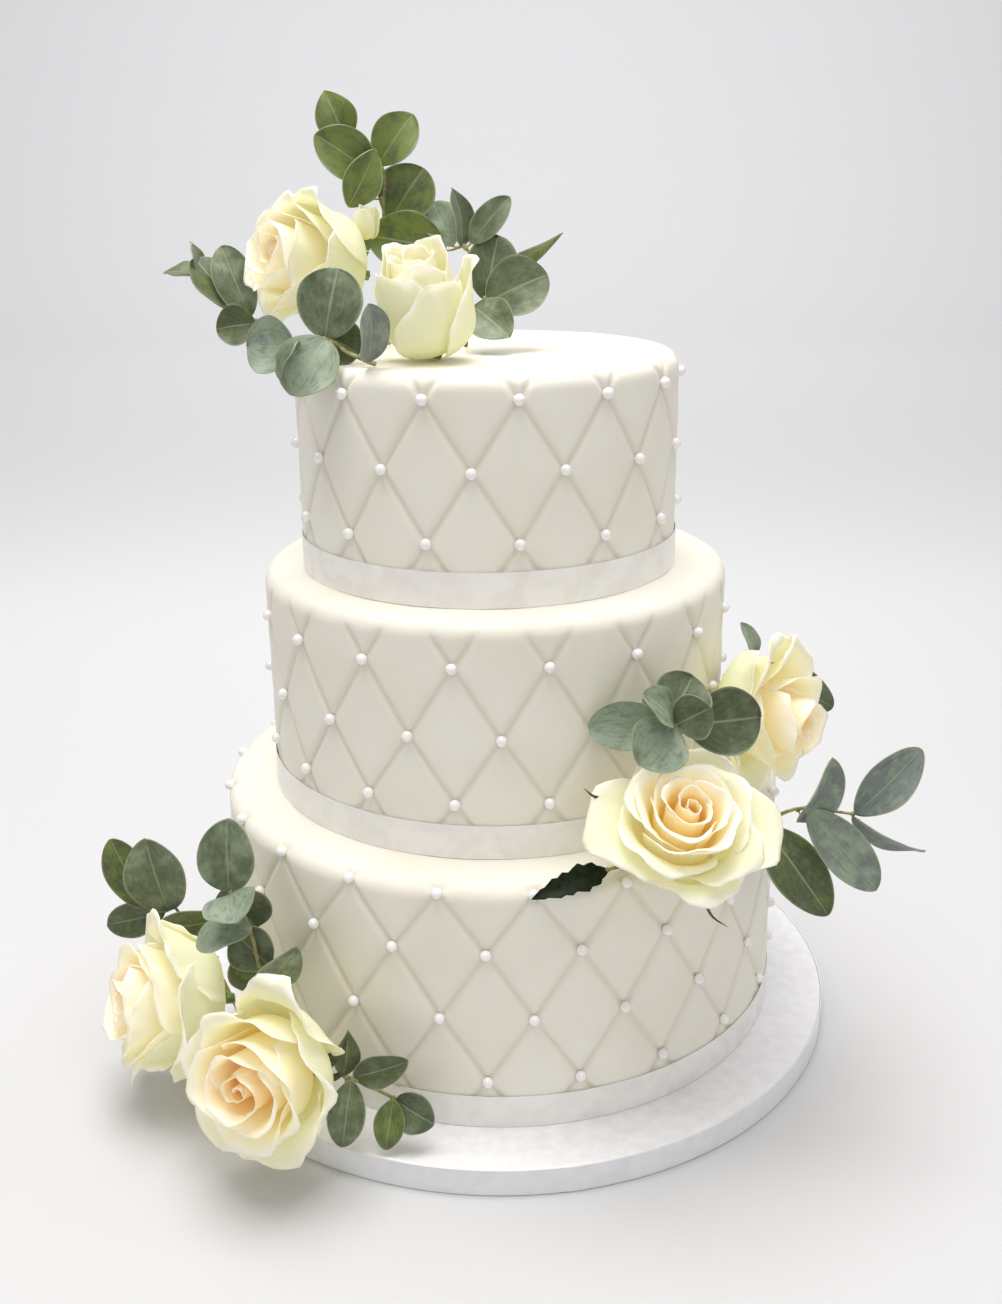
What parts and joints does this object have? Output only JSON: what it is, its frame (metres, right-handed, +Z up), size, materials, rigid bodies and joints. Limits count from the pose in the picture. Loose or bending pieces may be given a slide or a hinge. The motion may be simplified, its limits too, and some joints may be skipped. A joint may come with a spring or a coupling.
{
  "type": "tiered fondant cake",
  "caption": "Round tiered cake on a board: quilted ivory fondant with sugar pearls, satin ribbon at each foot, and sprays of cream roses and eucalyptus.",
  "frame": {"origin": "centre of the round board's underside, where the cake rests", "axes": "+Z up through the tiers, -Y towards the side the picture was taken from, +X to the viewer's right"},
  "size_m": [0.37, 0.3372, 0.43],
  "materials": {
    "board_foil": "pale silver foil with a fine pearl grain",
    "board_ribbon": "smooth white ribbon",
    "fondant": "ivory rolled sugar paste, satin matte",
    "satin_ribbon": "ivory satin",
    "rose_petal": "soft velvety cream petal",
    "eucalyptus_leaf": "waxy grey-green leaf with a dull bloom",
    "rose_leaf": "dark green leaf"
  },
  "bodies": {
    "root": {"board": "board_foil", "board_edge_ribbon": "board_ribbon", "tier_bottom": "fondant", "ribbon_bottom": "satin_ribbon", "tier_middle": "fondant", "ribbon_middle": "satin_ribbon", "tier_top": "fondant", "ribbon_top": "satin_ribbon", "rose_top_left": "rose_petal", "rose_top_right": "rose_petal", "rose_middle_front": "rose_petal", "rose_middle_back": "rose_petal", "rose_lower_left": "rose_petal", "rose_lower_front": "rose_petal", "rose_bud": "rose_petal", "eucalyptus_top_upright": "eucalyptus_leaf", "eucalyptus_top_right": "eucalyptus_leaf", "eucalyptus_top_left": "eucalyptus_leaf", "eucalyptus_top_front": "eucalyptus_leaf", "eucalyptus_middle_cluster": "eucalyptus_leaf", "eucalyptus_middle_right": "eucalyptus_leaf", "eucalyptus_middle_behind": "eucalyptus_leaf", "rose_leaf_serrated": "rose_leaf", "eucalyptus_lower_left": "eucalyptus_leaf", "eucalyptus_lower_upright": "eucalyptus_leaf", "eucalyptus_lower_right": "eucalyptus_leaf"}
  },
  "joints": []
}
